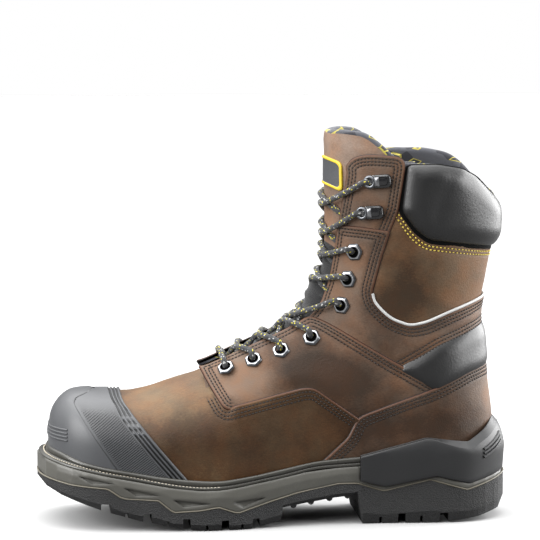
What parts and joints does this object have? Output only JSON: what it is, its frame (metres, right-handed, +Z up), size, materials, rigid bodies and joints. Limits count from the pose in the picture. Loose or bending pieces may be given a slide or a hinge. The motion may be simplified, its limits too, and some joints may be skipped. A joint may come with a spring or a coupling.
{
  "type": "safety boot",
  "caption": "Lace-up leather safety boot with rubber toe cap, padded collar and ankle, hex eyelets, lace hooks, welted lug sole and heel stabilizer.",
  "frame": {"origin": "on the floor, under the middle of the boot's box", "axes": "+Z up; -X towards the toe, +X towards the heel; -Y towards the outer side of the foot"},
  "size_m": [0.3121, 0.113, 0.2584],
  "materials": {
    "outsole_rubber": "matt, stippled",
    "midsole_rubber": "satin, brushed look",
    "welt_rubber": "satin",
    "stabilizer_rubber": "satin, smooth",
    "insole_foam": "woven cover",
    "oiled_leather": "oiled, mottled, pull-up",
    "tongue_leather": "oiled",
    "patch_rubber": "matt",
    "toe_cap_rubber": "matt, ribbed",
    "padded_synthetic": "glossy, padded",
    "piping_reflective": "silver reflective",
    "eyelet_metal": "gunmetal",
    "hook_metal": "gunmetal and black",
    "lace_cord": "braided, flecked"
  },
  "bodies": {
    "root": {"outsole": "outsole_rubber", "midsole": "midsole_rubber", "welt": "welt_rubber", "heel_stabilizer": "stabilizer_rubber", "insole": "insole_foam", "upper": "oiled_leather", "tongue": "tongue_leather", "tongue_patch": "patch_rubber", "toe_cap": "toe_cap_rubber", "heel_counter": "oiled_leather", "quarter_lateral": "oiled_leather", "quarter_medial": "oiled_leather", "hook_stay_lateral": "oiled_leather", "hook_stay_medial": "oiled_leather", "ankle_band": "oiled_leather", "collar_pad": "padded_synthetic", "achilles_pad": "padded_synthetic", "piping": "piping_reflective", "eyelet_lateral_1": "eyelet_metal", "eyelet_lateral_2": "eyelet_metal", "eyelet_lateral_3": "eyelet_metal", "eyelet_lateral_4": "eyelet_metal", "eyelet_lateral_5": "eyelet_metal", "eyelet_lateral_6": "eyelet_metal", "eyelet_lateral_7": "eyelet_metal", "hook_lateral_1": "hook_metal", "hook_lateral_2": "hook_metal", "eyelet_medial_1": "eyelet_metal", "eyelet_medial_2": "eyelet_metal", "eyelet_medial_3": "eyelet_metal", "eyelet_medial_4": "eyelet_metal", "eyelet_medial_5": "eyelet_metal", "eyelet_medial_6": "eyelet_metal", "eyelet_medial_7": "eyelet_metal", "hook_medial_1": "hook_metal", "hook_medial_2": "hook_metal", "lace_bar": "lace_cord", "lace_crossing_1": "lace_cord", "lace_crossing_2": "lace_cord", "lace_crossing_3": "lace_cord", "lace_crossing_4": "lace_cord", "lace_crossing_5": "lace_cord", "lace_crossing_6": "lace_cord", "lace_crossing_7": "lace_cord", "lace_crossing_8": "lace_cord"}
  },
  "joints": []
}
